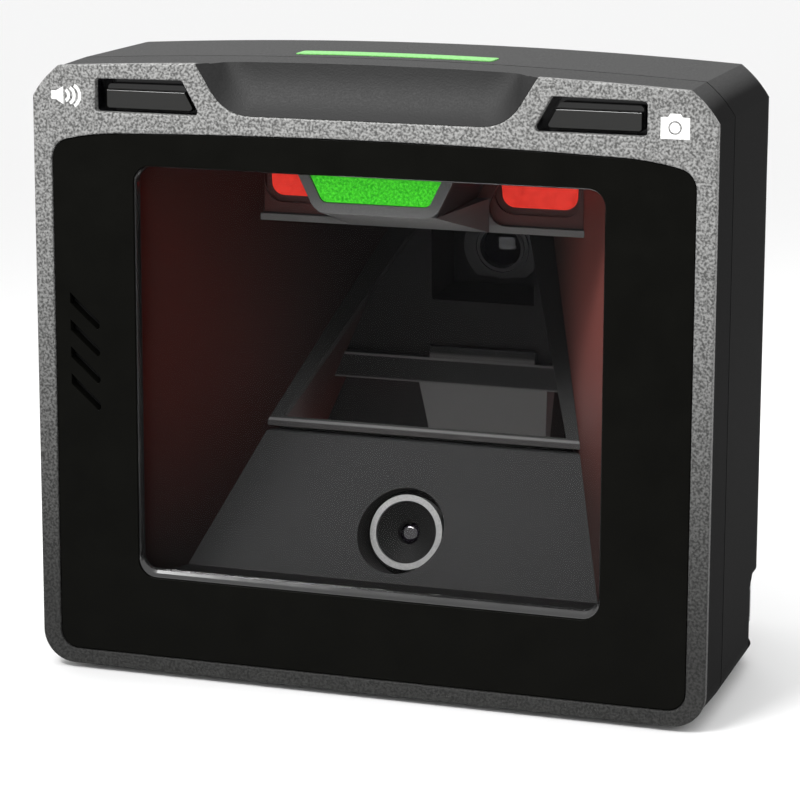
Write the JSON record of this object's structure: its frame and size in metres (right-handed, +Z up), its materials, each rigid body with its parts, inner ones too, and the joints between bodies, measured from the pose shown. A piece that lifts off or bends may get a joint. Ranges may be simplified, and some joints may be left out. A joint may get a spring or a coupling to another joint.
{
  "type": "presentation barcode scanner",
  "caption": "Upright single-plane presentation barcode scanner: arched casing, large glazed scan window, fold mirror, aiming lights, two push buttons and a rear cable bay.",
  "frame": {"origin": "middle of the footprint, on the surface the scanner stands on", "axes": "+Z up, -Y the way the scan window faces, +X to the right as seen from the front"},
  "size_m": [0.1524, 0.086, 0.1384],
  "materials": {
    "bezel_grey": "textured silver-grey paint",
    "panel_black": "high gloss",
    "window_glass": "clear polished",
    "camera_glass": "coated lens",
    "foam_black": "foam",
    "casing_charcoal": "fine grain",
    "green_guide": "translucent",
    "red_guide": "frosted translucent",
    "chamber_black": "satin moulding",
    "nose_grey": "satin moulding",
    "mirror_face": "front-surface mirror",
    "board_green": "solder mask",
    "chip_black": "moulded",
    "diode": "clear moulding",
    "plated_steel": "zinc plated",
    "brass": "turned",
    "feet_rubber": "matt",
    "cloth": "fine woven cloth",
    "cone": "formed film",
    "ribbon": "polyimide film"
  },
  "bodies": {
    "housing": {"front_bezel": "bezel_grey", "front_panel": "panel_black", "window_trim": "panel_black", "scan_window": "window_glass", "window_gasket": "foam_black", "front_casing": "casing_charcoal", "rear_casing": "casing_charcoal", "light_bar": "green_guide", "light_bar_board": "board_green", "light_bar_diodes": "diode", "rubber_feet": "feet_rubber", "casing_screws": "plated_steel", "mounting_inserts": "brass", "chamber_floor": "chamber_black", "sensor_deck": "chamber_black", "camera_ring": "nose_grey", "camera_cone": "chamber_black", "camera_lens": "camera_glass", "camera_barrel": "chamber_black", "camera_board": "board_green", "mirror_frame": "chamber_black", "fold_mirror": "mirror_face", "mirror_pad": "foam_black", "mirror_carrier": "chamber_black", "chamber_ceiling": "chamber_black", "chamber_bulkhead": "chamber_black", "imager_holder": "chamber_black", "imager_lens": "camera_glass", "imager_sensor": "chip_black", "imager_board": "board_green", "illumination_housing": "chamber_black", "nose_frame": "nose_grey", "green_lens": "green_guide", "lamp_board": "board_green", "red_diodes": "diode", "green_diodes": "diode", "main_board": "board_green", "board_screws": "plated_steel", "board_chips": "chip_black", "power_shield": "plated_steel", "board_connectors": "chip_black", "host_port": "chip_black", "host_contacts": "brass", "aux_port": "plated_steel", "speaker_frame": "chip_black", "speaker_cone": "cone", "speaker_gasket": "foam_black", "speaker_cloth": "cloth", "flat_cables": "ribbon", "left_chamber_wall": "chamber_black", "right_chamber_wall": "chamber_black", "red_diffusers": "red_guide", "switch_bodies": "chip_black", "button_wells": "panel_black", "button_boards": "board_green"},
    "volume_key": {"volume_button": "panel_black", "volume_switch_plunger": "feet_rubber"},
    "camera_key": {"camera_button": "panel_black", "camera_switch_plunger": "feet_rubber"}
  },
  "joints": [
    {"name": "volume_press", "type": "slide", "parent": "housing", "child": "volume_key", "axis": [0, 1, 0], "range_m": [0, 0.0006], "stiffness_N_per_m": 1500, "springref_m": -0.0005},
    {"name": "camera_press", "type": "slide", "parent": "housing", "child": "camera_key", "axis": [0, 1, 0], "range_m": [0, 0.0006], "stiffness_N_per_m": 1500, "springref_m": -0.0005}
  ]
}
